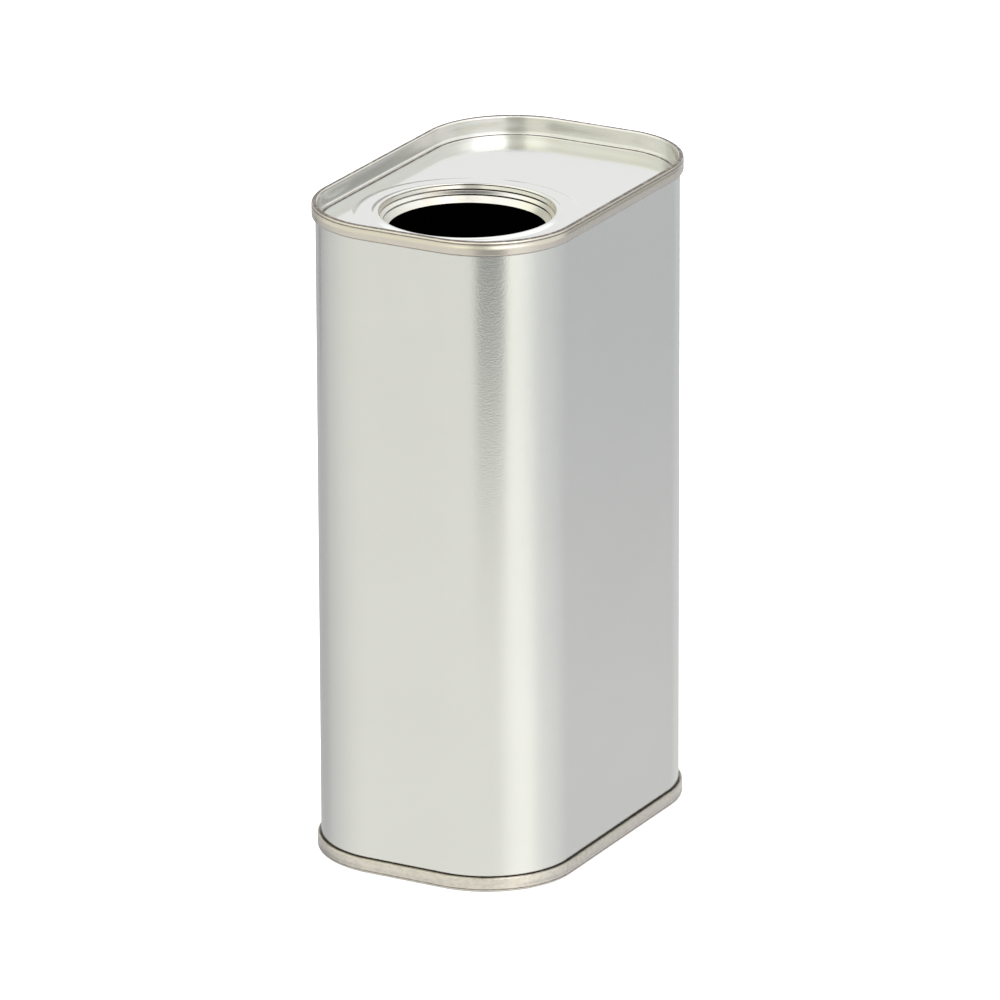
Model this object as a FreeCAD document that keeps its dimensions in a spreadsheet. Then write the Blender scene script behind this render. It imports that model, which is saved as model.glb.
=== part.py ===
import FreeCAD, Part
import math
import operator
import os
import Sketcher

# Rectangular tin can with an open pouring neck, in millimetres.
#
# Three pressed pieces of tinplate, held together by double seams:
#   can_body     the wall, a tube of rounded rectangular section with a hook flanged out of each end
#   top_end      the lid panel, sunk below its seam, with the raised neck for a pourer near the front
#   bottom_end   the same pressing without a neck, turned over
#
# The origin is at the centre of the foot, +Z up the can, +Y towards the back and +X to the right.
# The neck is near the front, on the -Y side.
#
# In a double seam the end's rim wraps the body's flange. From outside in, its five layers are the
# end's seaming wall, the body's hook, the end's hook, the body's wall and the end's chuck wall.
# Profiles are drawn as (out, up): out is the distance outwards from the body's outer face, and up
# is the height from the seam's crown, so that both ends share one drawing.

SIZES = {
    # the body
    "can_width": 54.0,        # outer faces of the wall, across the narrow side
    "can_depth": 79.5,        # outer faces of the wall, front to back
    "can_height": 136.0,      # crown of one seam to crown of the other
    "corner_radius": 18.3,    # outer face of the wall at its four upright corners
    "plate": 0.2,             # thickness of the tinplate
    # the double seams
    "layer_gap": 0.05,        # between two layers of a seam
    "seam_height": 3.0,       # crown to the lowest point of the curl
    "crown_round": 0.55,      # rounding of the crown's two outer edges
    "hook_clearance": 0.45,   # tip of each hook to the bottom of the bend it reaches into
    # the end panels
    "panel_depth": 3.8,       # crown down to the panel
    "groove_dip": 0.2,        # bottom of the groove round the panel, below the panel
    "groove_run": 0.5,        # width of the slope between them
    "groove_round": 0.45,     # inside rounding where the groove meets the chuck wall
    # the neck
    "neck_front": 26.75,      # outer face of the front wall to the neck's axis
    "neck_bore": 15.7,        # radius of the opening, at the foot of the neck's wall
    "neck_lip": 0.3,          # rounding that turns the raised bead down into that wall
    "collar_height": 0.15,    # upright top of the wall
    "seat_run": 0.24,         # steep seat that centres a pourer
    "seat_fall": 0.65,
    "riser": 0.3,             # each of the two upright parts between the wall's slopes
    "ledge_run": 0.62,        # slope that the pourer's flange rests on
    "ledge_fall": 0.62,
    "cone_run": 1.02,         # slope down to the opening
    "cone_fall": 1.21,
    "bead_rise": 0.4,         # top of the bead above its step
    "bead_run": 1.6,          # width of the slope between them
    "step_width": 2.1,        # flat of the step round the bead
    "step_rise": 0.2,         # step above the panel
    "step_run": 1.4,          # width of the slope between them
}

document = FreeCAD.newDocument("tin_can")
sheet = document.addObject("Spreadsheet::Sheet", "sizes")
for row, (alias, number) in enumerate(SIZES.items(), start=1):
    sheet.set(f"A{row}", alias)
    sheet.set(f"B{row}", str(number))
    sheet.setAlias(f"B{row}", alias)
document.recompute()


class Size:
    """A length that carries both its number and the formula that ties it to the sheet."""

    def __init__(self, number, formula):
        self.number = number
        self.formula = formula

    def joined(self, operation, sign, other):
        if not isinstance(other, Size):
            other = Size(float(other), repr(float(other)))
        number = operation(self.number, other.number)
        return Size(number, f"({self.formula} {sign} {other.formula})")

    def __add__(self, other):
        return self.joined(operator.add, "+", other)

    def __sub__(self, other):
        return self.joined(operator.sub, "-", other)

    def __mul__(self, other):
        return self.joined(operator.mul, "*", other)

    def __truediv__(self, other):
        return self.joined(operator.truediv, "/", other)

    def __neg__(self):
        return self * -1


def size(alias):
    return Size(float(sheet.get(alias)), f"sizes.{alias}")


def bind(item, path, length):
    """Set a property of item to a length now, and tie it to the sheet from now on."""
    item.setExpression(path, length.formula)


def origin_plane(body, role):
    return next(feature for feature in body.Origin.OriginFeatures if feature.Role == role)


def new_sketch(body, name, role):
    sketch = body.newObject("Sketcher::SketchObject", name)
    sketch.AttachmentSupport = (origin_plane(body, role), "")
    sketch.MapMode = "FlatFace"
    return sketch


def place(sketch, geometry, end, x, y):
    """Hold one end of a line or arc at x, y in the sketch."""
    for kind, length in (("DistanceX", x), ("DistanceY", y)):
        index = sketch.addConstraint(Sketcher.Constraint(kind, geometry, end, length.number))
        bind(sketch, f"Constraints[{index}]", length)


START, END, CENTRE = 1, 2, 3  # the sketcher's numbers for the points of a line, arc or circle


def draw_outline(sketch, corners):
    """Draw a closed outline. Each corner is (x, y) where a straight line leaves it, or
    (x, y, radius) where an arc does: anticlockwise for a positive turn, and (x, y, radius, "cw")
    for a clockwise one. An arc turns through less than half a circle."""
    up = FreeCAD.Vector(0, 0, 1)
    ends = []
    for corner, following in zip(corners, corners[1:] + corners[:1]):
        first = FreeCAD.Vector(corner[0].number, corner[1].number, 0)
        last = FreeCAD.Vector(following[0].number, following[1].number, 0)
        if len(corner) == 2:
            index = sketch.addGeometry(Part.LineSegment(first, last))
            ends.append((index, START, END))
            continue
        clockwise = len(corner) == 4
        start, stop = (last, first) if clockwise else (first, last)
        radius = corner[2].number
        chord = stop - start
        left = FreeCAD.Vector(-chord.y, chord.x, 0).normalize()
        centre = (start + stop) / 2 + left * math.sqrt(radius**2 - chord.Length**2 / 4)
        angles = [math.atan2(point.y - centre.y, point.x - centre.x) for point in (start, stop)]
        index = sketch.addGeometry(Part.ArcOfCircle(Part.Circle(centre, up, radius), *angles))
        ends.append((index, END, START) if clockwise else (index, START, END))
        held = sketch.addConstraint(Sketcher.Constraint("Radius", index, radius))
        bind(sketch, f"Constraints[{held}]", corner[2])
    for corner, here, before in zip(corners, ends, ends[-1:] + ends[:-1]):
        sketch.addConstraint(Sketcher.Constraint("Coincident", before[0], before[2], here[0], here[1]))
        place(sketch, here[0], here[1], corner[0], corner[1])


def draw_circle(sketch, x, y, radius):
    centre = FreeCAD.Vector(x.number, y.number, 0)
    circle = Part.Circle(centre, FreeCAD.Vector(0, 0, 1), radius.number)
    index = sketch.addGeometry(circle)
    place(sketch, index, CENTRE, x, y)
    held = sketch.addConstraint(Sketcher.Constraint("Radius", index, radius.number))
    bind(sketch, f"Constraints[{held}]", radius)


ZERO = Size(0.0, "0.0")
PLATE = size("plate")
GAP = size("layer_gap")
HALF_WIDTH = size("can_width") / 2
HALF_DEPTH = size("can_depth") / 2

# Distances outwards from the body's outer face to the faces of a seam's layers.
CHUCK_INNER = -(PLATE * 2 + GAP)
CHUCK_OUTER = CHUCK_INNER + PLATE
BODY_INNER = -PLATE
BODY_OUTER = ZERO
END_HOOK_INNER = GAP
END_HOOK_OUTER = END_HOOK_INNER + PLATE
BODY_HOOK_INNER = END_HOOK_OUTER + GAP
BODY_HOOK_OUTER = BODY_HOOK_INNER + PLATE
SEAMING_INNER = BODY_HOOK_OUTER + GAP
SEAMING_OUTER = SEAMING_INNER + PLATE

# The body's flange is a half round, one layer and its gap under the crown.
FLANGE_MIDDLE = (BODY_INNER + BODY_HOOK_OUTER) / 2
FLANGE_ROUND = (BODY_HOOK_OUTER - BODY_INNER) / 2
FLANGE_INSIDE = FLANGE_ROUND - PLATE
FLANGE_UP = -(PLATE + GAP + FLANGE_ROUND)

# The end's curl is a half round as well, at the foot of the seam.
CURL_MIDDLE = (END_HOOK_INNER + SEAMING_OUTER) / 2
CURL_ROUND = (SEAMING_OUTER - END_HOOK_INNER) / 2
CURL_INSIDE = CURL_ROUND - PLATE
CURL_UP = CURL_ROUND - size("seam_height")

# The tip of each hook stays clear of the other's bend.
BODY_HOOK_TIP = CURL_UP - CURL_INSIDE + size("hook_clearance")
END_HOOK_TIP = FLANGE_UP + FLANGE_INSIDE - size("hook_clearance")

NECK_BACK = size("neck_front") - HALF_DEPTH  # the neck's axis, along Y


def rounded_rectangle(out):
    """The can's plan, this far outwards from the body's outer face, anticlockwise from the right."""
    x, y = HALF_WIDTH + out, HALF_DEPTH + out
    radius = size("corner_radius") + out
    near_x, near_y = x - radius, y - radius
    return [
        (x, ZERO),
        (x, near_y, radius),
        (near_x, y),
        (-near_x, y, radius),
        (-x, near_y),
        (-x, -near_y, radius),
        (-near_x, -y),
        (near_x, -y, radius),
        (x, -near_y),
    ]


def sweep_round_can(body, name, corners, lift):
    """Sweep a profile, drawn as (out, up), once round the can's plan."""
    path = new_sketch(body, name + "_path", "XY_Plane")
    draw_outline(path, rounded_rectangle(BODY_OUTER))
    bind(path, "AttachmentOffset.Base.z", lift)
    profile = new_sketch(body, name + "_profile", "XZ_Plane")
    draw_outline(profile, [(HALF_WIDTH + out, up + lift, *arc) for out, up, *arc in corners])
    document.recompute()
    sweep = body.newObject("PartDesign::AdditivePipe", name)
    sweep.Profile = profile
    sweep.Spine = path
    sweep.Mode = "Standard"
    sweep.Transition = "Transformed"
    return sweep


def new_body(name):
    body = document.addObject("PartDesign::Body", name)
    body.Label = name
    return body


def make_can_body():
    """The wall between the two flanges, then the flange and hook, mirrored to the other end.
    The piece is drawn about its mid-height and lifted by its placement."""
    body = new_body("can_body")
    half_height = size("can_height") / 2
    flange_up = half_height + FLANGE_UP

    plan = new_sketch(body, "wall_plan", "XY_Plane")
    draw_outline(plan, rounded_rectangle(BODY_OUTER))
    draw_outline(plan, rounded_rectangle(BODY_INNER))
    wall = body.newObject("PartDesign::Pad", "wall")
    wall.Profile = plan
    wall.SideType = "Symmetric"
    bind(wall, "Length", flange_up * 2)

    flange = sweep_round_can(
        body,
        "flange",
        [
            (BODY_OUTER, FLANGE_UP),
            (BODY_INNER, FLANGE_UP, FLANGE_ROUND, "cw"),
            (FLANGE_MIDDLE, FLANGE_UP + FLANGE_ROUND, FLANGE_ROUND, "cw"),
            (BODY_HOOK_OUTER, FLANGE_UP),
            (BODY_HOOK_OUTER, BODY_HOOK_TIP),
            (BODY_HOOK_INNER, BODY_HOOK_TIP),
            (BODY_HOOK_INNER, FLANGE_UP, FLANGE_INSIDE),
            (FLANGE_MIDDLE, FLANGE_UP + FLANGE_INSIDE, FLANGE_INSIDE),
        ],
        half_height,
    )
    document.recompute()
    mirrored = body.newObject("PartDesign::Mirrored", "other_flange")
    mirrored.Originals = [flange]
    mirrored.MirrorPlane = (origin_plane(body, "XY_Plane"), [""])
    body.Tip = mirrored
    bind(body, "Placement.Base.z", half_height)
    return body


def slope(low_out, low_up, high_out, high_up):
    """The middle and the radius of an S of two equal arcs that joins two levels."""
    run, rise = low_out - high_out, high_up - low_up
    middle = ((low_out + high_out) / 2, (low_up + high_up) / 2)
    return middle, (run * run + rise * rise) / (rise * 4)


PANEL_UP = -size("panel_depth")
GROOVE_UP = PANEL_UP - size("groove_dip")
GROOVE_OUT = CHUCK_INNER - size("groove_round")
PANEL_OUT = GROOVE_OUT - size("groove_run")

# The neck in section, as (distance from its axis, height from the crown) of the upper face.
STEP_UP = PANEL_UP + size("step_rise")
BEAD_UP = STEP_UP + size("bead_rise")
BORE = size("neck_bore")
LEDGE = BORE + size("cone_run")
SEAT = LEDGE + size("ledge_run")
COLLAR = SEAT + size("seat_run")
LIP = size("neck_lip")
BEAD_OUT = COLLAR + LIP
BEAD_FOOT = BEAD_OUT + size("bead_run")
STEP_EDGE = BEAD_FOOT + size("step_width")
NECK_FOOT = STEP_EDGE + size("step_run")
COLLAR_UP = BEAD_UP - LIP

# How the wall's outer face lies from its inner one, so that upright and sloping parts of the wall
# are all about one plate thick.
WALL_SHIFT = (PLATE, -PLATE * 0.4)


def neck_wall():
    """The inner face of the wall inside the neck, from below the collar down to the opening."""
    corners = []
    up = COLLAR_UP - size("collar_height")
    for above, below, fall in (
        (COLLAR, SEAT, size("seat_fall")),
        (SEAT, LEDGE, size("ledge_fall")),
        (LEDGE, BORE, size("cone_fall")),
    ):
        corners += [(above, up), (below, up - fall)]
        up = up - fall - size("riser")
    return corners


def add_neck(body):
    """The step and bead pressed up round the opening, and the wall turned down inside it."""
    step_middle, step_round = slope(NECK_FOOT, PANEL_UP, STEP_EDGE, STEP_UP)
    bead_middle, bead_round = slope(BEAD_FOOT, STEP_UP, BEAD_OUT, BEAD_UP)
    wall = neck_wall()
    profile = new_sketch(body, "neck_profile", "YZ_Plane")
    bind(profile, "AttachmentOffset.Base.x", NECK_BACK)
    draw_outline(
        profile,
        [
            (NECK_FOOT, PANEL_UP, step_round, "cw"),
            (*step_middle, step_round),
            (STEP_EDGE, STEP_UP),
            (BEAD_FOOT, STEP_UP, bead_round, "cw"),
            (*bead_middle, bead_round),
            (BEAD_OUT, BEAD_UP, LIP),
            (COLLAR, COLLAR_UP),
            *wall,
            *((out + WALL_SHIFT[0], up + WALL_SHIFT[1]) for out, up in reversed(wall)),
            (COLLAR + PLATE, COLLAR_UP, LIP - PLATE, "cw"),
            (BEAD_OUT, BEAD_UP - PLATE, bead_round, "cw"),
            (bead_middle[0], bead_middle[1] - PLATE, bead_round),
            (BEAD_FOOT, STEP_UP - PLATE),
            (STEP_EDGE, STEP_UP - PLATE, step_round, "cw"),
            (step_middle[0], step_middle[1] - PLATE, step_round),
            (NECK_FOOT, PANEL_UP - PLATE),
        ],
    )
    document.recompute()
    neck = body.newObject("PartDesign::Revolution", "neck")
    neck.Profile = profile
    neck.ReferenceAxis = (profile, ["V_Axis"])
    neck.Angle = 360.0


def make_end(name, with_neck):
    """One pressed end, drawn with the crown of its seam at height 0 and its panel below."""
    body = new_body(name)
    crown_round, groove_round = size("crown_round"), size("groove_round")
    crown_inside = crown_round - PLATE
    groove_middle, groove_slope = slope(GROOVE_OUT, GROOVE_UP, PANEL_OUT, PANEL_UP)
    sweep_round_can(
        body,
        "seam",
        [
            (PANEL_OUT, PANEL_UP),
            (PANEL_OUT, PANEL_UP - PLATE, groove_slope, "cw"),
            (groove_middle[0], groove_middle[1] - PLATE, groove_slope),
            (GROOVE_OUT, GROOVE_UP - PLATE, groove_round + PLATE),
            (CHUCK_OUTER, GROOVE_UP + groove_round),
            (CHUCK_OUTER, -crown_round, crown_inside, "cw"),
            (CHUCK_OUTER + crown_inside, -PLATE),
            (SEAMING_INNER - crown_inside, -PLATE, crown_inside, "cw"),
            (SEAMING_INNER, -crown_round),
            (SEAMING_INNER, CURL_UP, CURL_INSIDE, "cw"),
            (CURL_MIDDLE, CURL_UP - CURL_INSIDE, CURL_INSIDE, "cw"),
            (END_HOOK_OUTER, CURL_UP),
            (END_HOOK_OUTER, END_HOOK_TIP),
            (END_HOOK_INNER, END_HOOK_TIP),
            (END_HOOK_INNER, CURL_UP, CURL_ROUND),
            (CURL_MIDDLE, CURL_UP - CURL_ROUND, CURL_ROUND),
            (SEAMING_OUTER, CURL_UP),
            (SEAMING_OUTER, -crown_round, crown_round),
            (SEAMING_OUTER - crown_round, ZERO),
            (CHUCK_INNER + crown_round, ZERO, crown_round),
            (CHUCK_INNER, -crown_round),
            (CHUCK_INNER, GROOVE_UP + groove_round, groove_round, "cw"),
            (GROOVE_OUT, GROOVE_UP, groove_slope, "cw"),
            (*groove_middle, groove_slope),
        ],
        ZERO,
    )
    document.recompute()

    plan = new_sketch(body, "panel_plan", "XY_Plane")
    draw_outline(plan, rounded_rectangle(PANEL_OUT))
    if with_neck:
        draw_circle(plan, ZERO, NECK_BACK, NECK_FOOT)
    bind(plan, "AttachmentOffset.Base.z", PANEL_UP)
    document.recompute()
    panel = body.newObject("PartDesign::Pad", "panel")
    panel.Profile = plan
    panel.Reversed = True
    bind(panel, "Length", PLATE)
    document.recompute()
    if with_neck:
        add_neck(body)
    return body


def export(bodies):
    """Write one file for each piece, once every object of the document is known to be sound."""
    document.recompute()
    for item in document.Objects:
        faults = {"Invalid", "Error"} & set(item.State)
        if faults:
            raise RuntimeError(f"{item.Name}: {', '.join(sorted(faults))}")
    for body in bodies:
        shape = body.Shape
        if shape.isNull() or not shape.isValid() or len(shape.Solids) != 1:
            raise RuntimeError(f"{body.Label} is not one sound solid")
    os.makedirs("parts", exist_ok=True)
    for body in bodies:
        body.Shape.exportStep(f"parts/{body.Label}.step")
        box = body.Shape.BoundBox
        print(f"{body.Label}: {body.Shape.Volume:.1f} mm3, z {box.ZMin:.2f} to {box.ZMax:.2f}")


can_body = make_can_body()
top_end = make_end("top_end", with_neck=True)
bind(top_end, "Placement.Base.z", size("can_height"))
bottom_end = make_end("bottom_end", with_neck=False)
bottom_end.Placement.Rotation = FreeCAD.Rotation(FreeCAD.Vector(1, 0, 0), 180)
export([can_body, top_end, bottom_end])
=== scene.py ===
import math

import bmesh
import bpy
from mathutils import Matrix, Vector


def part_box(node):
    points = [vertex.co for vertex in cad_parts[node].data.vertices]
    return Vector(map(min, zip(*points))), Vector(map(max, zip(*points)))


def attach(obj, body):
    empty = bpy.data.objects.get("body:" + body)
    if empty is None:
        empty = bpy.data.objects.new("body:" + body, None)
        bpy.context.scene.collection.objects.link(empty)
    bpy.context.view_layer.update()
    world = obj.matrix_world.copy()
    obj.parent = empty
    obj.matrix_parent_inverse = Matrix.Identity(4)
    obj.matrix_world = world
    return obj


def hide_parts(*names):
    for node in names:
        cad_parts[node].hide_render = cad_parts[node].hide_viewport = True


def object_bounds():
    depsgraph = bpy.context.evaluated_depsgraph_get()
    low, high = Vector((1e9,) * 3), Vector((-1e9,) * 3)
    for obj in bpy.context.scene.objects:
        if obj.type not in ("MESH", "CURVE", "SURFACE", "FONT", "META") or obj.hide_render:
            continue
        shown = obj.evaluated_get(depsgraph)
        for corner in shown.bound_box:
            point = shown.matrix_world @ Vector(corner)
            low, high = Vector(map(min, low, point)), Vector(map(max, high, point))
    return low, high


bl_info = {
    "name": "Rectangular tin can",
    "version": (1, 0, 0),
    "blender": (4, 5, 0),
    "location": "3D View > Sidebar > Tin can",
    "description": "Seams a tinplate can with an open pouring neck, and sets up the studio it stands in",
    "category": "Object",
}

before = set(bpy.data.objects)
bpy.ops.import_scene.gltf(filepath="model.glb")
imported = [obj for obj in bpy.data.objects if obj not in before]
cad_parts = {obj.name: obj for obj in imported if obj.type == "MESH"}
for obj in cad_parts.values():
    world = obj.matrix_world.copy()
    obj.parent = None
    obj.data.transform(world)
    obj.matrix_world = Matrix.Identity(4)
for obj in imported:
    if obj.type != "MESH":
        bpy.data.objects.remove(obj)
CAD_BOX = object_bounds()
TOP_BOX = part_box("top_end")
BOTTOM_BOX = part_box("bottom_end")

CORNER_STEPS = 32  # facets round each upright corner of the can
SIDE_STEPS = 6     # facets along each flat side
WALL_STEPS = 24    # facets up the wall
BEND_STEPS = 8     # facets in a quarter bend of the sheet
NECK_STEPS = 144   # facets round the neck
SHARP_TURN = math.radians(50)
WELD = 1e-6

HALF_HEIGHT = CAD_BOX[1].z / 2
# Colour of the painted highlight along the foot of the wall inside the rim.
PAINTED_HIGHLIGHT = (0.98, 0.97, 0.95)

# Azimuths and elevations are in degrees, from the front towards the right and from level upwards.
CAMERA_AZIMUTH = 28.784
CAMERA_PITCH = 19.424
CAMERA_ROLL = -0.214
CAMERA_DISTANCE = 2.0662  # metres
CAMERA_LENS = 370.7       # millimetres

LAMP_SIZE = 1.2
LAMP_POWER = 14.0
LAMP_PLACE = (-0.2, -0.2, 1.3)
LAMP_LEAN = (math.radians(-9), math.radians(-9), 0.0)

FLOOR_RADIUS = 3.0
FLOOR_GLOW = 0.62
PLAIN_LIGHT = 0.8
WHITE = (1.0, 1.0, 1.0)
SHADE_COLOUR = (0.64, 0.77, 1.0)
SHADE_SIZE = 1.2
SHADE_LIFT = 0.00001  # between one shade and the next above the floor

# What the table adds to its plain light: how much, round which azimuth, and how far to its sides
# it is full and where it ends.
TABLE_PLAIN = 0.60
TABLE_LIGHTS = [
    (0.30, (15, 30, 135)),
    (0.078, (130, 25, 70)),
    (0.14, (70, 2, 30)),
    (0.10, (100, 18, 56)),
    (0.10, (195, 15, 35)),
    (-0.07, (-125, 22, 34)),
]

# What takes light from the room: the share it takes, its azimuths as above, and the elevations
# where it starts, is full, begins to fade and ends.
ROOM_PLAIN = 0.95
ROOM_SHADES = [
    (0.60, (156, 12, 27), (-5, 0, 10, 21)),
    (0.45, (24, 7, 17), (-5, 0, 44, 54)),
    (0.35, (-108, 8, 22), (-5, 0, 30, 40)),
]

# Where the table falls into shade: the azimuth, how far to its sides the shade is full and where it
# ends, the distances where it starts and is full, its share of the light, and its own glow.
SHADES = [
    (34.5, 10.0, 22.0, 0.22, 0.56, 0.80, 0.05),
    (-109.0, 1.5, 3.5, 0.25, 0.42, 0.60, 0.05),
    (150.0, 60.0, 95.0, 0.03, 0.38, 0.21, 0.28),
    (0.0, 25.0, 60.0, 0.05, 0.40, 0.04, 0.05),
]


# ---------------------------------------------------------------- sizes and colours


def length(name, description, metres):
    return bpy.props.FloatProperty(
        name=name, description=description, default=metres, min=0.0, precision=5, unit="LENGTH"
    )


def colour(name, description, rgb):
    return bpy.props.FloatVectorProperty(
        name=name, description=description, default=rgb, size=3, min=0.0, max=1.0, subtype="COLOR"
    )


class CanSizes(bpy.types.PropertyGroup):
    """Sizes of the sheet metal. The can's overall size comes from the frame."""

    plate: length("Plate", "Thickness of the tinplate", 0.0002)
    layer_gap: length("Layer gap", "Space between two layers of a seam", 0.00005)
    seam_proud: length("Seam proud", "How far a seam stands out from the wall", 0.00075)
    seam_height: length("Seam height", "Crown of a seam to the foot of its curl", 0.003)
    hook_clearance: length("Hook clearance", "Tip of a hook to the bend it reaches into", 0.00045)
    crown_round: length("Crown round", "Rounding of a seam's two upper edges", 0.00055)
    corner_radius: length("Corner radius", "Outer face of the wall at its upright corners", 0.0183)
    panel_depth: length("Panel depth", "Crown of a seam down to its panel", 0.0038)
    groove_dip: length("Groove dip", "Bottom of the groove round the panel, below the panel", 0.0002)
    groove_run: length("Groove run", "Width of the slope from the panel to the groove", 0.0005)
    groove_round: length("Groove round", "Rounding from the groove up to the seam's inner wall", 0.00045)
    neck_front: length("Neck from front", "Outer face of the front wall to the neck's axis", 0.02675)
    neck_bore: length("Neck bore", "Radius of the opening, at the foot of the neck's wall", 0.0157)
    neck_lip: length("Neck lip", "Rounding that turns the bead down into the wall", 0.0003)
    collar_height: length("Collar height", "Upright top of the wall", 0.00015)
    seat_run: length("Seat run", "Width of the steep seat that centres a pourer", 0.00024)
    seat_fall: length("Seat fall", "Height of that seat", 0.00065)
    riser: length("Riser", "Each upright part between the slopes of the wall", 0.0003)
    ledge_run: length("Ledge run", "Width of the slope that a pourer's flange rests on", 0.00062)
    ledge_fall: length("Ledge fall", "Height of that slope", 0.00062)
    cone_run: length("Cone run", "Width of the slope down to the opening", 0.00102)
    cone_fall: length("Cone fall", "Height of that slope", 0.00121)
    crease: length("Crease", "Rounding between two slopes of the wall", 0.0001)
    bead_rise: length("Bead rise", "Top of the bead above its step", 0.0004)
    bead_run: length("Bead run", "Width of the slope up to the bead", 0.0016)
    step_width: length("Step width", "Flat of the step round the bead", 0.0021)
    step_rise: length("Step rise", "Step above the panel", 0.0002)
    step_run: length("Step run", "Width of the slope up to the step", 0.0014)


class CanColours(bpy.types.PropertyGroup):
    """Colours of the can's finishes and of its surroundings."""

    wall: colour("Wall tinplate", "Satin tinplate of the wall", (0.80, 0.80, 0.775))
    end: colour("End tinplate", "Bright tinplate of the two end panels", (0.80, 0.808, 0.815))
    seam: colour("Seam tinplate", "Worked tinplate of the seams, slightly golden", (0.78, 0.73, 0.66))
    # Painted shade: colour of the dark lines on the crown, in the groove, at the seams' feet and in the
    # wall's gap under each seam.
    line: colour("Dark line", "Lines along a seam's crown and foot and the groove", (0.10, 0.08, 0.07))
    # Painted shade: the near-black inside stands in for the shade within the can.
    inside: colour("Inside", "Dark lining of the can", (0.006, 0.006, 0.005))
    floor: colour("Floor", "Pale floor under the can", (0.9, 0.9, 0.9))


# ---------------------------------------------------------------- sheet metal


class Pen:
    """Draws the section of a sheet in the XZ plane, as straight runs and round bends.
    The heading is in degrees, 0 away from the can's middle and 90 upwards."""

    def __init__(self, mesh, out, up, heading):
        self.mesh = mesh
        self.earlier = set(mesh.verts) | set(mesh.edges)
        self.tip = mesh.verts.new((out, 0.0, up))
        self.heading = heading

    def section(self):
        """The points and edges drawn so far."""
        return [item for item in (*self.mesh.verts, *self.mesh.edges) if item not in self.earlier]

    def direction(self, turn=0.0):
        angle = math.radians(self.heading + turn)
        return Vector((math.cos(angle), 0.0, math.sin(angle)))

    def run(self, distance, steps=1):
        """Straight on."""
        for _ in range(steps):
            self.tip = bmesh.ops.extrude_vert_indiv(self.mesh, verts=[self.tip])["verts"][0]
            bmesh.ops.translate(self.mesh, verts=[self.tip], vec=self.direction() * distance / steps)

    def slope(self, width, rise):
        """An S of two equal bends, to a level that is higher on the right of the heading."""
        radius = (width**2 + rise**2) / (4 * rise)
        turn = math.degrees(2 * math.atan(rise / width))
        self.bend(-turn, radius)
        self.bend(turn, radius)

    def shelf(self, width, fall, crease):
        """Over to the right by a width and on by a fall, with a crease at either end."""
        between = math.hypot(width - 2 * crease, fall)
        lean = math.atan2(width - 2 * crease, fall) + math.asin(2 * crease / between)
        turn = math.degrees(lean)
        self.bend(-turn, crease, 4)
        self.run(math.sqrt(between**2 - 4 * crease**2))
        self.bend(turn, crease, 4)

    def bend(self, turn, radius, steps=BEND_STEPS):
        """Turn left through a positive angle, or right through a negative one."""
        centre = self.tip.co + self.direction(math.copysign(90, turn)) * radius
        made = bmesh.ops.spin(
            self.mesh,
            geom=[self.tip],
            cent=centre,
            axis=(0, -1, 0),
            angle=math.radians(turn),
            steps=steps,
        )
        self.tip = next(item for item in made["geom_last"] if isinstance(item, bmesh.types.BMVert))
        self.heading += turn


def carry(mesh, section, steps, run=None, centre=None, angle=math.pi / 2):
    """Sweep a section in a straight line, or round an upright axis, and return its new place."""
    made = bmesh.ops.spin(
        mesh,
        geom=section,
        cent=centre or (0, 0, 0),
        axis=(0, 0, 1),
        dvec=Vector(run) / steps if run else (0, 0, 0),
        angle=0.0 if run else angle,
        steps=steps,
    )
    return made["geom_last"]


def sweep_round_can(mesh, section, plan):
    """Sweep a section once round the can, from the middle of its right side."""
    x, y = plan.near_x, plan.near_y
    section = carry(mesh, section, SIDE_STEPS // 2, run=(0, y, 0))
    section = carry(mesh, section, CORNER_STEPS, centre=(x, y, 0))
    section = carry(mesh, section, SIDE_STEPS, run=(-2 * x, 0, 0))
    section = carry(mesh, section, CORNER_STEPS, centre=(-x, y, 0))
    section = carry(mesh, section, SIDE_STEPS, run=(0, -2 * y, 0))
    section = carry(mesh, section, CORNER_STEPS, centre=(-x, -y, 0))
    section = carry(mesh, section, SIDE_STEPS, run=(2 * x, 0, 0))
    section = carry(mesh, section, CORNER_STEPS, centre=(x, -y, 0))
    carry(mesh, section, SIDE_STEPS // 2, run=(0, y, 0))
    bmesh.ops.remove_doubles(mesh, verts=mesh.verts[:], dist=WELD)


class Plan:
    """The can seen from above: its wall's outer face, with the layers of a seam as distances
    outwards from that face, and heights in a seam as distances from its crown."""

    def __init__(self, sizes):
        plate, gap = sizes.plate, sizes.layer_gap
        self.half_width = TOP_BOX[1].x - sizes.seam_proud
        self.half_depth = TOP_BOX[1].y - sizes.seam_proud
        self.corner = sizes.corner_radius
        self.near_x = self.half_width - self.corner
        self.near_y = self.half_depth - self.corner
        self.chuck = -(2 * plate + gap)
        self.hook = 2 * gap + plate
        self.flange_inside = self.hook / 2
        self.flange_up = -(2 * plate + gap + self.flange_inside)
        self.curl_round = (sizes.seam_proud - gap) / 2
        self.curl_up = self.curl_round - sizes.seam_height
        self.body_hook_tip = self.curl_up - self.curl_round + plate + sizes.hook_clearance
        self.end_hook_tip = self.flange_up + self.flange_inside - sizes.hook_clearance
        self.panel_edge = self.chuck - sizes.groove_round - sizes.groove_run
        self.neck_y = sizes.neck_front - self.half_depth
        seat = sizes.neck_bore + sizes.cone_run + sizes.ledge_run
        self.bead = seat + sizes.seat_run + sizes.neck_lip


def thicken(mesh, plate):
    """Give a single sheet its thickness behind its shown face, which gets the second material."""
    shown = set(mesh.faces)
    bmesh.ops.solidify(mesh, geom=mesh.faces[:], thickness=plate)
    for face in mesh.faces:
        face.material_index = 0 if face in shown else 1


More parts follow.
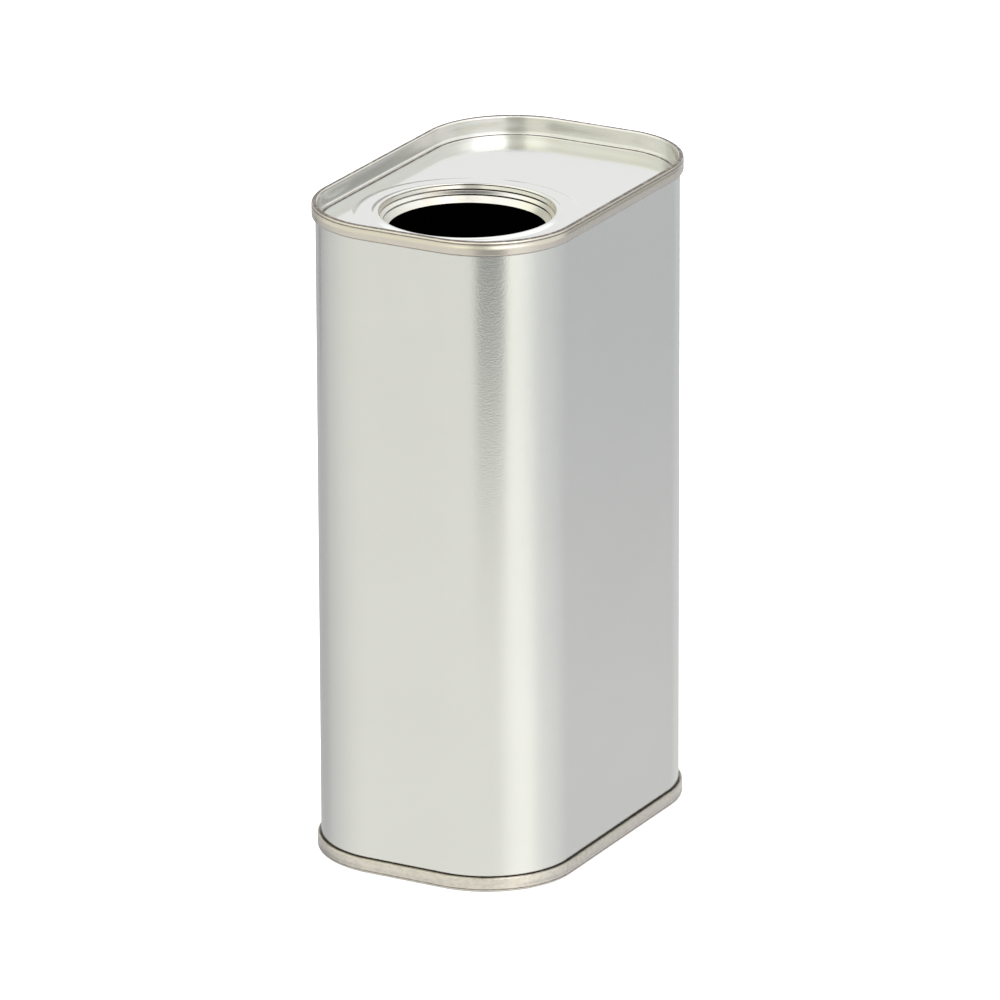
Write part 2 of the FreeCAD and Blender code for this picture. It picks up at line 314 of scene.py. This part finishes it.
def wall_mesh(sizes, plan):
    """The wall with a flange and hook at each end, drawn from the upper hook's tip."""
    mesh = bmesh.new()
    top = TOP_BOX[1].z
    bottom = BOTTOM_BOX[0].z
    hook_length = plan.flange_up - plan.body_hook_tip
    pen = Pen(mesh, plan.half_width + plan.hook, top + plan.body_hook_tip, 90)
    pen.run(hook_length)
    pen.bend(180, plan.flange_inside, 2 * BEND_STEPS)
    pen.run(top - bottom + 2 * plan.flange_up, WALL_STEPS)
    pen.bend(180, plan.flange_inside, 2 * BEND_STEPS)
    pen.run(hook_length)
    sweep_round_can(mesh, pen.section(), plan)
    thicken(mesh, sizes.plate)
    return mesh


def end_mesh(sizes, plan, with_neck):
    """A pressed end, drawn outwards from its panel's edge with the seam's crown at height 0."""
    mesh = bmesh.new()
    panel_up = -sizes.panel_depth
    pen = Pen(mesh, plan.half_width + plan.panel_edge, panel_up, 0)
    pen.slope(sizes.groove_run, sizes.groove_dip)
    pen.bend(90, sizes.groove_round)
    pen.run(sizes.panel_depth + sizes.groove_dip - sizes.groove_round - sizes.crown_round)
    pen.bend(-90, sizes.crown_round)
    pen.run(sizes.seam_proud - plan.chuck - 2 * sizes.crown_round)
    pen.bend(-90, sizes.crown_round)
    pen.run(-plan.curl_up - sizes.crown_round)
    pen.bend(-180, plan.curl_round, 2 * BEND_STEPS)
    pen.run(plan.end_hook_tip - plan.curl_up)
    sweep_round_can(mesh, pen.section(), plan)
    if with_neck:
        add_neck(mesh, sizes, plan, panel_up)
    fill_panel(mesh, panel_up)
    thicken(mesh, sizes.plate)
    return mesh


def add_neck(mesh, sizes, plan, panel_up):
    """The step and bead pressed up round the opening, and the wall turned down inside it."""
    foot = plan.bead + sizes.bead_run + sizes.step_width + sizes.step_run
    pen = Pen(mesh, foot, panel_up, 180)
    pen.slope(sizes.step_run, sizes.step_rise)
    pen.run(sizes.step_width, 2)
    pen.slope(sizes.bead_run, sizes.bead_rise)
    pen.bend(90, sizes.neck_lip, 2 * BEND_STEPS)
    pen.run(sizes.collar_height)
    pen.shelf(sizes.seat_run, sizes.seat_fall, sizes.crease)
    pen.run(sizes.riser)
    pen.shelf(sizes.ledge_run, sizes.ledge_fall, sizes.crease)
    pen.run(sizes.riser)
    pen.shelf(sizes.cone_run, sizes.cone_fall, sizes.crease)
    section = pen.section()
    earlier = pen.earlier
    carry(mesh, section, NECK_STEPS, centre=(0, 0, 0), angle=2 * math.pi)
    made = [vert for vert in mesh.verts if vert not in earlier]
    bmesh.ops.remove_doubles(mesh, verts=made, dist=WELD)
    made = [vert for vert in mesh.verts if vert not in earlier]
    bmesh.ops.translate(mesh, verts=made, vec=(0, plan.neck_y, 0))


def fill_panel(mesh, panel_up):
    """Close the flat between the rim, and the neck if there is one."""
    level = [
        edge
        for edge in mesh.edges
        if edge.is_boundary and all(abs(vert.co.z - panel_up) < WELD for vert in edge.verts)
    ]
    bmesh.ops.triangle_fill(mesh, use_beauty=True, edges=level)
    bmesh.ops.recalc_face_normals(mesh, faces=mesh.faces[:])


def finish_piece(name, mesh, node, materials):
    """Turn a bmesh into a shown piece that stands for a node of the frame."""
    for edge in mesh.edges:
        edge.smooth = len(edge.link_faces) != 2 or edge.calc_face_angle() < SHARP_TURN
    data = bpy.data.meshes.new(name)
    mesh.to_mesh(data)
    mesh.free()
    data.shade_smooth()
    for material in materials:
        data.materials.append(material)
    piece = bpy.data.objects.new(name, data)
    bpy.context.scene.collection.objects.link(piece)
    weighted = piece.modifiers.new("Weighted normals", "WEIGHTED_NORMAL")
    weighted.keep_sharp = True
    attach(piece, "root")
    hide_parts(node)
    return piece


# ---------------------------------------------------------------- finishes


class Signal:
    """One value in a node tree. Arithmetic on it adds the Math node that does the sum."""

    def __init__(self, graph, socket):
        self.graph = graph
        self.socket = socket

    def _math(self, operation, first, second):
        return self.graph.node("ShaderNodeMath", {"operation": operation}, {0: first, 1: second})

    def __add__(self, other):
        return self._math("ADD", self, other)

    def __sub__(self, other):
        return self._math("SUBTRACT", self, other)

    def __mul__(self, other):
        return self._math("MULTIPLY", self, other)

    def __truediv__(self, other):
        return self._math("DIVIDE", self, other)

    def __radd__(self, other):
        return self._math("ADD", other, self)

    def __rsub__(self, other):
        return self._math("SUBTRACT", other, self)

    def __rmul__(self, other):
        return self._math("MULTIPLY", other, self)

    def __pow__(self, other):
        return self._math("POWER", self, other)

    def __abs__(self):
        return self.graph.node("ShaderNodeMath", {"operation": "ABSOLUTE"}, {0: self})


class Graph:
    """A node tree that is built from Signals and plain numbers."""

    def __init__(self, owner):
        owner.use_nodes = True
        self.tree = owner.node_tree
        self.tree.nodes.clear()

    def node(self, kind, settings=None, inputs=None, output=0):
        """Add a node: first its settings, then a value or a link for each socket named."""
        made = self.tree.nodes.new(kind)
        for name, value in (settings or {}).items():
            setattr(made, name, value)
        for name, value in (inputs or {}).items():
            if isinstance(value, Signal):
                self.tree.links.new(value.socket, made.inputs[name])
            else:
                made.inputs[name].default_value = value
        return Signal(self, made.outputs[output]) if made.outputs else made

    def position(self):
        """Where a point lies on its object, in metres."""
        return self.node("ShaderNodeTexCoord", output="Object")

    def parts(self, vector):
        """The X, Y and Z of a vector."""
        across = self.node("ShaderNodeSeparateXYZ", inputs={0: vector})
        return [Signal(self, socket) for socket in across.socket.node.outputs]

    def noise(self, vector, scale, detail=2.0, finer=(1, 1, 1)):
        """Clouds from 0 to 1, about scale of them to a metre, and so many times finer on each axis."""
        vector = self.node("ShaderNodeMapping", inputs={"Vector": vector, "Scale": finer})
        return self.node(
            "ShaderNodeTexNoise", inputs={"Vector": vector, "Scale": scale, "Detail": detail}
        )

    def ease(self, value, low, high, to_low=0.0, to_high=1.0):
        """Smoothly from to_low at low to to_high at high, and flat beyond."""
        return self.node(
            "ShaderNodeMapRange",
            {"interpolation_type": "SMOOTHSTEP"},
            {"Value": value, "From Min": low, "From Max": high, "To Min": to_low, "To Max": to_high},
        )

    def band(self, value, start, full, fading, end):
        """Up from 0 at start to 1 at full, and down again to 0 between fading and end."""
        return self.ease(value, start, full) * (1 - self.ease(value, fading, end))

    def larger(self, first, second):
        return self.node("ShaderNodeMath", {"operation": "MAXIMUM"}, {0: first, 1: second})

    def mix(self, share, first, second):
        """A colour, from the first to the second as share goes from 0 to 1."""
        return self.node(
            "ShaderNodeMix",
            {"data_type": "RGBA"},
            {0: share, 6: opaque(first), 7: opaque(second)},
            output=2,
        )

    def dot(self, first, second):
        return self.node(
            "ShaderNodeVectorMath", {"operation": "DOT_PRODUCT"}, {0: first, 1: second}, output=1
        )

    def bump(self, relief):
        """The normal of a surface with a relief in metres."""
        return self.node(
            "ShaderNodeBump", inputs={"Strength": 1.0, "Distance": 1.0, "Height": relief}
        )

    def end(self, kind, shader):
        """Lead the finished shader to the tree's output."""
        self.node(kind, inputs={"Surface": shader})


def opaque(value):
    """A plain colour with its alpha. A Signal is a whole colour already."""
    return value if isinstance(value, Signal) else (*value, 1.0)


def darker(rgb, share):
    """A colour with only a share of its light."""
    return tuple(share * part for part in rgb)


def from_crown(height):
    """How far a height lies in from the nearer seam's crown."""
    return HALF_HEIGHT - abs(height - HALF_HEIGHT)


def out_from_wall(graph, point):
    """How far a point lies outwards from the wall's outer face, the seams' own measure."""
    plan = Plan(bpy.context.scene.can_sizes)
    x, y, _ = graph.parts(point)
    over_x = graph.larger(abs(x) - plan.near_x, 0.0)
    over_y = graph.larger(abs(y) - plan.near_y, 0.0)
    return (over_x * over_x + over_y * over_y) ** 0.5 - plan.corner


def from_neck(graph, point):
    """How far a point lies from the neck's upright axis."""
    plan = Plan(bpy.context.scene.can_sizes)
    x, y, _ = graph.parts(point)
    across = y - plan.neck_y
    return (x * x + across * across) ** 0.5


def tin_material(name, build):
    """A metal whose colour, metallic share, roughness and surface come from build(graph, point)."""
    material = bpy.data.materials.new(name)
    graph = Graph(material)
    base, metallic, roughness, normal = build(graph, graph.position())
    shader = graph.node(
        "ShaderNodeBsdfPrincipled",
        inputs={"Base Color": base, "Metallic": metallic, "Roughness": roughness, "Normal": normal},
    )
    graph.end("ShaderNodeOutputMaterial", shader)
    return material


def satin_tinplate(graph, point):
    """The wall: a dull rolled finish, with a fine grain that glitters where it mirrors an edge, and
    painted shade in the dark gap where it runs in under each seam."""
    colours = bpy.context.scene.can_colours
    cloud = graph.noise(point, 45.0, 3.0)
    cloudy = graph.ease(cloud, 0.3, 0.7) * 0.35
    base = graph.mix(cloudy, colours.wall, darker(colours.wall, 0.95))
    _, _, height = graph.parts(point)
    foot = bpy.context.scene.can_sizes.seam_height
    # Painted shade: the wall turns dark just beyond each seam's foot, where it runs in under it.
    painted_gap_shade = 1 - graph.ease(from_crown(height), foot + 0.0001, foot + 0.0003)
    base = graph.mix(painted_gap_shade, base, colours.line)
    grain = graph.noise(point, 3000.0, 1.0)
    streak = graph.noise(point, 90.0, 2.0, finer=(1, 1, 0.06))
    relief = grain * 0.000018 + streak * 0.00002
    roughness = 0.17 + graph.noise(point, 700.0, 2.0) * 0.05
    return base, 1.0, roughness, graph.bump(relief)


class EndZones:
    """The parts of an end as shares from 0 to 1, told apart by how far out from the wall and how
    deep below the crown a point lies, in metres."""

    def __init__(self, graph, point):
        sizes = bpy.context.scene.can_sizes
        plan = Plan(sizes)
        x, _, height = graph.parts(point)
        self.graph = graph
        self.proud = sizes.seam_proud
        self.seam_foot = sizes.seam_height
        self.panel = sizes.panel_depth
        self.out = out_from_wall(graph, point)
        self.deep = from_crown(height)
        self.upper = graph.ease(height, HALF_HEIGHT - 0.005, HALF_HEIGHT + 0.005)
        self.worked = graph.ease(self.out, -0.0001, 0.0004)
        self.face = graph.ease(self.out, self.proud - 0.00025, self.proud - 0.00005)
        self.wall = graph.ease(self.out, -0.0013, -0.001) * (1 - self.worked)
        beyond_neck = graph.ease(from_neck(graph, point), plan.bead - 0.0004, plan.bead)
        self.neck = self.upper * (1 - beyond_neck)
        self.neck_side = graph.ease(x * x, 0.0084**2, 0.0148**2)

    def painted_shade_lines(self):
        """Painted shade: the dark lines along the crown and in the groove round the panel."""
        graph = self.graph
        edge = self.proud - 0.00012
        on_crown = 1 - graph.ease(self.deep, 0.0006, 0.0008)
        crown = graph.band(self.out, -0.00025, -0.00015, edge - 0.00008, edge) * on_crown
        in_groove = graph.ease(self.deep, self.panel - 0.0008, self.panel - 0.0003)
        groove = graph.band(self.out, -0.001, -0.0009, -0.00061, -0.00052) * in_groove
        return graph.larger(crown, groove)

    def painted_dark_seam_lines(self):
        """Painted dark lines along the seams: a painted reflection across the seam's face, and painted
        shade at the foot of each seam's curl.
        """
        graph = self.graph
        foot = self.seam_foot - 0.0001
        roll = graph.band(self.deep, 0.0004, 0.0005, 0.00062, 0.00075) * self.face
        curl = graph.ease(self.deep, foot - 0.0003, foot) * self.face * self.upper
        at_crest = graph.band(self.out, 0.0001, 0.0002, 0.00042, 0.00052)
        crest = graph.ease(self.deep, foot - 0.0002, foot) * at_crest * (1 - self.upper)
        return graph.larger(roll * 0.75, graph.larger(curl * 0.5, crest))

    def painted_highlight(self):
        """The painted highlight along the foot of the wall inside the rim."""
        top, foot = self.panel - 0.0007, self.panel - 0.0001
        return self.graph.band(self.deep, top, top + 0.0002, foot - 0.0001, foot) * self.wall

    def relief(self, scuff, flow, ripple):
        """The bow of the seam's face, the draft of the wall inside the rim, and the finish."""
        graph = self.graph
        inside = 1 - graph.ease(self.out, 0.0001, 0.0004)
        bow = graph.ease(self.deep, 0.0006, 0.00175, 0.0, 0.00033) * self.face
        draft = graph.ease(self.deep, 0.0004, self.panel - 0.0002, 0.0, 0.00026) * inside
        finish = ripple * 0.00003 + flow * self.wall * 0.00001
        return bow + draft + finish + scuff * self.face * 0.000005 + scuff * self.neck * 0.00001


def bright_tinplate(graph, point):
    """The ends: nearly a mirror inside, golden and scuffed where the seams were rolled and in
    patches of the neck, with painted shade in dark lines along the crown, in the groove and at the
    seams' feet, a painted reflection in a dark line across the seams' faces, a painted highlight
    along the foot of the wall inside the rim, and the top seam painted a little darker as shade."""
    colours = bpy.context.scene.can_colours
    zones = EndZones(graph, point)
    scuff = graph.noise(point, 900.0, 3.0, finer=(1, 1, 2))
    flow = graph.noise(point, 120.0, 3.0, finer=(1, 1, 14))
    patches = graph.noise(point, 140.0)
    ripple = graph.noise(point, 60.0, 2.0)

    scuffed = graph.ease(scuff, 0.35, 0.75) * 0.5
    seam = graph.mix(scuffed, colours.seam, darker(colours.seam, 0.75))
    # Painted shade: the top seam is painted a little darker than the bottom one, for how it is lit.
    seam = graph.mix(zones.upper, seam, darker(colours.seam, 0.93))
    base = graph.mix(zones.worked, colours.end, seam)
    base = graph.mix(zones.wall * graph.ease(flow, 0.3, 0.7, 0.1, 0.55), base, colours.seam)
    base = graph.mix(zones.neck * graph.ease(patches, 0.35, 0.6, 0.25, 0.9), base, colours.seam)
    # A painted highlight along the foot of the wall inside the rim.
    base = graph.mix(zones.painted_highlight(), base, PAINTED_HIGHLIGHT)
    # Painted shade and painted reflection: dark lines on the crown, in the groove and along the seams,
    # broken up by the scuffs.
    line = zones.painted_shade_lines()
    dark = graph.larger(line, zones.painted_dark_seam_lines()) * graph.ease(scuff, 0.2, 0.6, 0.7, 1.0)
    base = graph.mix(dark, base, colours.line)

    roughness = 0.09 + zones.face * 0.14 + zones.wall * 0.09 + scuff * 0.03 + line * 0.3
    roughness = roughness + zones.neck * (0.09 + 0.2 * zones.neck_side)
    relief = zones.relief(scuff, flow, ripple)
    return base, 1 - line * 0.8, roughness, graph.bump(relief)


def painted_dark_inside():
    """Painted shade: the inside is near black, dull and without metal, standing in for the shade within
    the can.
    """
    material = bpy.data.materials.new("Inside painted shade")
    graph = Graph(material)
    cloud = graph.noise(graph.position(), 200.0)
    base = graph.mix(cloud, bpy.context.scene.can_colours.inside, (0.01, 0.01, 0.009))
    shader = graph.node(
        "ShaderNodeBsdfPrincipled",
        inputs={"Base Color": base, "Roughness": 0.7, "Specular IOR Level": 0.1},
    )
    graph.end("ShaderNodeOutputMaterial", shader)
    return material


# ---------------------------------------------------------------- studio


def compass(azimuth):
    """The level direction at an azimuth in degrees: 0 is towards the front, 90 to the right."""
    angle = math.radians(azimuth)
    return Vector((math.sin(angle), -math.cos(angle), 0.0))


def bearing(graph, direction, azimuth, full, none):
    """1 within full degrees of an azimuth, easing to 0 at none degrees from it."""
    x, y, _ = graph.parts(direction)
    level = (x * x + y * y + 0.000001) ** 0.5
    aligned = graph.dot(direction, compass(azimuth)) / level
    return graph.ease(aligned, math.cos(math.radians(none)), math.cos(math.radians(full)))


def rise(degrees):
    """The height of a direction at an elevation."""
    return math.sin(math.radians(degrees))


def storey(graph, up, *degrees):
    """A band of elevations: where it starts, is full, begins to fade and ends."""
    return graph.band(up, *(rise(each) for each in degrees))


def table_light(graph, direction):
    """How bright the pale table is in each direction, brightest towards the soft box at the right."""
    lit = TABLE_PLAIN
    for share, bearings in TABLE_LIGHTS:
        lit = lit + share * bearing(graph, direction, *bearings)
    return lit


def room_light(graph, direction, up):
    """The white room above the table: a soft box on the right, dark places round the room, and a
    dark ceiling over the middle."""
    front_right = bearing(graph, direction, 42, 45, 72) * storey(graph, up, 19, 26, 70, 80)
    all_round = storey(graph, up, 25, 35, 60, 70)
    box_heights = 0.62 * storey(graph, up, 17, 24, 55, 70) + 0.18 * storey(graph, up, 1, 5, 14, 18)
    soft_box = bearing(graph, direction, 58, 13, 31) * box_heights
    lit = ROOM_PLAIN + 0.32 * front_right + 0.30 * all_round + soft_box
    for share, bearings, elevations in ROOM_SHADES:
        shade = share * bearing(graph, direction, *bearings) * storey(graph, up, *elevations)
        lit = lit * (1 - shade)
    ceiling = graph.ease(up, rise(64), rise(76))
    return lit * (1 - 0.78 * ceiling)


def studio_world(world):
    """A white studio with a pale table. Diffuse light is plain and even, mirrors see the room,
    and the camera sees white."""
    graph = Graph(world)
    direction = graph.node("ShaderNodeTexCoord", output="Generated")
    _, _, up = graph.parts(direction)
    table = table_light(graph, direction)
    room = room_light(graph, direction, up)
    above = graph.ease(up, -0.02, 0.02)
    seen = table + (room - table) * above
    warm_side = bearing(graph, direction, 15, 25, 150)
    table_tint = graph.mix(warm_side, (0.99, 0.995, 1.0), (1.0, 1.005, 0.945))
    low = 1 - graph.ease(up, rise(40), rise(60))
    cream_side = bearing(graph, direction, -40, 62, 95) * low
    green_side = bearing(graph, direction, 132, 20, 60) * low
    room_tint = graph.mix(cream_side, (1.0, 1.0, 0.97), (0.99, 1.0, 0.86))
    room_tint = graph.mix(green_side, room_tint, (0.98, 1.0, 0.94))
    tint = graph.mix(above, table_tint, room_tint)
    light = graph.node("ShaderNodeBackground", inputs={"Color": tint, "Strength": seen})
    plain_inputs = {"Color": opaque(WHITE), "Strength": PLAIN_LIGHT}
    plain = graph.node("ShaderNodeBackground", inputs=plain_inputs)
    white = graph.node("ShaderNodeBackground", inputs={"Color": opaque(WHITE), "Strength": 1.0})
    camera = graph.node("ShaderNodeLightPath", output="Is Camera Ray")
    glossy = graph.node("ShaderNodeLightPath", output="Is Glossy Ray")
    through = graph.node("ShaderNodeLightPath", output="Is Transmission Ray")
    shader = graph.node("ShaderNodeMixShader", inputs={0: glossy + through, 1: plain, 2: light})
    shader = graph.node("ShaderNodeMixShader", inputs={0: camera, 1: shader, 2: white})
    graph.end("ShaderNodeOutputWorld", shader)


def stage_piece(name, mesh, material):
    """Turn a bmesh into a piece of the studio, which is no part of the can."""
    data = bpy.data.meshes.new(name)
    mesh.to_mesh(data)
    mesh.free()
    data.materials.append(material)
    piece = bpy.data.objects.new(name, data)
    bpy.context.scene.collection.objects.link(piece)
    return piece


def floor_material(floor_colour):
    """A pale floor that keeps its shadow. A little of its own light takes it to white."""
    material = bpy.data.materials.new("Pale floor")
    graph = Graph(material)
    lit = graph.node("ShaderNodeBsdfDiffuse", inputs={"Color": opaque(floor_colour)})
    glow_inputs = {"Color": opaque(WHITE), "Strength": FLOOR_GLOW}
    glow = graph.node("ShaderNodeEmission", inputs=glow_inputs)
    shader = graph.node("ShaderNodeAddShader", inputs={0: lit, 1: glow})
    graph.end("ShaderNodeOutputMaterial", shader)
    return material


def shade_material(azimuth, full, none, near, far, most, glow):
    """The table falling into a bluish shade on one side of the can, more so further from it."""
    material = bpy.data.materials.new("Table shade")
    graph = Graph(material)
    point = graph.position()
    x, y, _ = graph.parts(point)
    share = graph.ease((x * x + y * y) ** 0.5, near, far, 0.0, most)
    share = share * bearing(graph, point, azimuth, full, none)
    clear = graph.node("ShaderNodeBsdfTransparent")
    dark_inputs = {"Color": opaque(SHADE_COLOUR), "Strength": glow}
    dark = graph.node("ShaderNodeEmission", inputs=dark_inputs)
    shader = graph.node("ShaderNodeMixShader", inputs={0: share, 1: clear, 2: dark})
    graph.end("ShaderNodeOutputMaterial", shader)
    return material


def lay_floor(floor_colour):
    """The floor, which the camera sees and the can's mirrors don't: they see the world's table."""
    mesh = bmesh.new()
    bmesh.ops.create_circle(mesh, cap_ends=True, segments=96, radius=FLOOR_RADIUS)
    floor = stage_piece("floor", mesh, floor_material(floor_colour))
    floor.visible_glossy = False


def lay_shades():
    """The dark sides of the table, which only the can's mirrors see."""
    for number, shade_sizes in enumerate(SHADES):
        mesh = bmesh.new()
        bmesh.ops.create_grid(mesh, x_segments=1, y_segments=1, size=SHADE_SIZE)
        lift = (0, 0, SHADE_LIFT * (number + 1))
        bmesh.ops.translate(mesh, verts=mesh.verts[:], vec=lift)
        shade = stage_piece(f"table_shade_{number}", mesh, shade_material(*shade_sizes))
        shade.visible_camera = False
        shade.visible_diffuse = False
        shade.visible_shadow = False


def hang_lamp():
    """A wide soft lamp above, which gives the can its shadow and no reflection."""
    lamp = bpy.data.lights.new("Overhead", "AREA")
    lamp.shape = "SQUARE"
    lamp.size = LAMP_SIZE
    lamp.energy = LAMP_POWER
    holder = bpy.data.objects.new("Overhead", lamp)
    bpy.context.scene.collection.objects.link(holder)
    holder.location = LAMP_PLACE
    holder.rotation_euler = LAMP_LEAN
    holder.visible_glossy = False


def make_camera():
    """The camera looks at the can's middle from the front right, a little from above."""
    data = bpy.data.cameras.new("Camera")
    data.sensor_width = 36.0
    data.lens = CAMERA_LENS
    data.clip_start = 0.05
    data.clip_end = 20.0
    camera = bpy.data.objects.new("Camera", data)
    bpy.context.scene.collection.objects.link(camera)
    middle = (CAD_BOX[0] + CAD_BOX[1]) / 2
    pitch = math.radians(CAMERA_PITCH)
    back = compass(CAMERA_AZIMUTH) * math.cos(pitch) + Vector((0, 0, math.sin(pitch)))
    roll = Matrix.Rotation(math.radians(CAMERA_ROLL), 3, "Z")
    turn = back.to_track_quat("Z", "Y").to_matrix() @ roll
    camera.matrix_world = Matrix.Translation(middle + back * CAMERA_DISTANCE) @ turn.to_4x4()
    bpy.context.scene.camera = camera


# ---------------------------------------------------------------- operators and panel


class CAN_OT_wall(bpy.types.Operator):
    """Roll the wall of the can, with a hook flanged out of each end"""

    bl_idname = "can.wall"
    bl_label = "Wall"

    def execute(self, context):
        sizes = context.scene.can_sizes
        mesh = wall_mesh(sizes, Plan(sizes))
        materials = [tin_material("Satin tinplate", satin_tinplate), painted_dark_inside()]
        finish_piece("wall", mesh, "can_body", materials)
        return {"FINISHED"}


class CAN_OT_ends(bpy.types.Operator):
    """Press the top end with its neck, and the plain bottom end, and seam them on"""

    bl_idname = "can.ends"
    bl_label = "Ends"

    def execute(self, context):
        sizes = context.scene.can_sizes
        plan = Plan(sizes)
        materials = [tin_material("Bright tinplate", bright_tinplate), painted_dark_inside()]
        top = end_mesh(sizes, plan, with_neck=True)
        bmesh.ops.translate(top, verts=top.verts[:], vec=(0, 0, TOP_BOX[1].z))
        finish_piece("top", top, "top_end", materials)
        bottom = end_mesh(sizes, plan, with_neck=False)
        half_turn = Matrix.Rotation(math.pi, 3, "X")
        bmesh.ops.rotate(bottom, verts=bottom.verts[:], cent=(0, 0, 0), matrix=half_turn)
        bmesh.ops.translate(bottom, verts=bottom.verts[:], vec=(0, 0, BOTTOM_BOX[0].z))
        finish_piece("bottom", bottom, "bottom_end", materials)
        return {"FINISHED"}


class CAN_OT_stage(bpy.types.Operator):
    """Set up the floor, the lamp, the surroundings and the camera"""

    bl_idname = "can.stage"
    bl_label = "Stage"

    def execute(self, context):
        scene = context.scene
        scene.view_settings.view_transform = "Standard"
        world = bpy.data.worlds.new("Studio")
        scene.world = world
        studio_world(world)

        lay_floor(scene.can_colours.floor)
        lay_shades()
        hang_lamp()
        make_camera()
        return {"FINISHED"}


class CAN_PT_panel(bpy.types.Panel):
    """Sizes and colours of the can, and a button for each group of its pieces"""

    bl_label = "Tin can"
    bl_space_type = "VIEW_3D"
    bl_region_type = "UI"
    bl_category = "Tin can"

    def draw(self, context):
        for group in (context.scene.can_sizes, context.scene.can_colours):
            column = self.layout.column()
            for name in group.__annotations__:
                column.prop(group, name)
        for operator in (CAN_OT_wall, CAN_OT_ends, CAN_OT_stage):
            self.layout.operator(operator.bl_idname)


CLASSES = (CanSizes, CanColours, CAN_OT_wall, CAN_OT_ends, CAN_OT_stage, CAN_PT_panel)


def register():
    for item in CLASSES:
        bpy.utils.register_class(item)
    bpy.types.Scene.can_sizes = bpy.props.PointerProperty(type=CanSizes)
    bpy.types.Scene.can_colours = bpy.props.PointerProperty(type=CanColours)


def unregister():
    del bpy.types.Scene.can_colours
    del bpy.types.Scene.can_sizes
    for item in reversed(CLASSES):
        bpy.utils.unregister_class(item)


def main():
    register()
    bpy.ops.can.wall()
    bpy.ops.can.ends()
    bpy.ops.can.stage()


if __name__ == "__main__":
    main()
